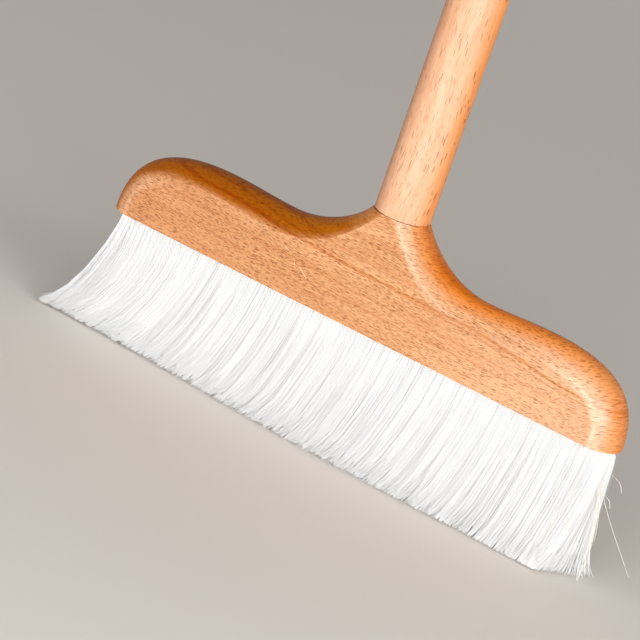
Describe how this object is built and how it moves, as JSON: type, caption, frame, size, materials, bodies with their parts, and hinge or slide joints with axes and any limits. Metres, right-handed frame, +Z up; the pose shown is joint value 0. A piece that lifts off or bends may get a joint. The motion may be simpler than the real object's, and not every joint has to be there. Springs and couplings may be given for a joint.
{
  "type": "floor broom",
  "caption": "Floor broom: shaped beech head with soft white bristle tufts and a round beech handle that unscrews from the neck.",
  "frame": {"origin": "on the floor under the handle's axis, at the middle of the bristle tips", "axes": "+Z up along the handle, +X along the head's length, -Y out of the head's front face"},
  "size_m": [0.3072, 0.028, 1.2698],
  "materials": {
    "head_beech": "clear satin lacquer on beech",
    "handle_beech": "clear satin lacquer on beech",
    "zinc_steel": "bright zinc plate",
    "insert_brass": "plain turned brass",
    "white_fibre": "soft matt fibre"
  },
  "bodies": {
    "head": {"head_block": "head_beech", "threaded_insert": "insert_brass", "tuft_front_01": "white_fibre", "tuft_front_02": "white_fibre", "tuft_front_03": "white_fibre", "tuft_front_04": "white_fibre", "tuft_front_05": "white_fibre", "tuft_front_06": "white_fibre", "tuft_front_07": "white_fibre", "tuft_front_08": "white_fibre", "tuft_front_09": "white_fibre", "tuft_front_10": "white_fibre", "tuft_front_11": "white_fibre", "tuft_front_12": "white_fibre", "tuft_front_13": "white_fibre", "tuft_front_14": "white_fibre", "tuft_front_15": "white_fibre", "tuft_front_16": "white_fibre", "tuft_front_17": "white_fibre", "tuft_front_18": "white_fibre", "tuft_front_19": "white_fibre", "tuft_front_20": "white_fibre", "tuft_front_21": "white_fibre", "tuft_front_22": "white_fibre", "tuft_front_23": "white_fibre", "tuft_front_24": "white_fibre", "tuft_front_25": "white_fibre", "tuft_front_26": "white_fibre", "tuft_front_27": "white_fibre", "tuft_back_01": "white_fibre", "tuft_back_02": "white_fibre", "tuft_back_03": "white_fibre", "tuft_back_04": "white_fibre", "tuft_back_05": "white_fibre", "tuft_back_06": "white_fibre", "tuft_back_07": "white_fibre", "tuft_back_08": "white_fibre", "tuft_back_09": "white_fibre", "tuft_back_10": "white_fibre", "tuft_back_11": "white_fibre", "tuft_back_12": "white_fibre", "tuft_back_13": "white_fibre", "tuft_back_14": "white_fibre", "tuft_back_15": "white_fibre", "tuft_back_16": "white_fibre", "tuft_back_17": "white_fibre", "tuft_back_18": "white_fibre", "tuft_back_19": "white_fibre", "tuft_back_20": "white_fibre", "tuft_back_21": "white_fibre", "tuft_back_22": "white_fibre", "tuft_back_23": "white_fibre", "tuft_back_24": "white_fibre", "tuft_back_25": "white_fibre", "tuft_back_26": "white_fibre"},
    "stud": {"handle_stud": "zinc_steel"},
    "handle": {"handle": "handle_beech"}
  },
  "joints": [
    {"name": "thread_lead", "type": "slide", "parent": "head", "child": "stud", "axis": [0, 0, 1], "range_m": [0, 0.018]},
    {"name": "handle_turn", "type": "hinge", "parent": "stud", "child": "handle", "pos_m": [0, 0, 0.1195], "axis": [0, 0, 1], "range_deg": [0, 4320]}
  ],
  "couplings": [
    {"joint": "handle_turn", "follows": "thread_lead", "rad_per_m": 4188.8}
  ]
}
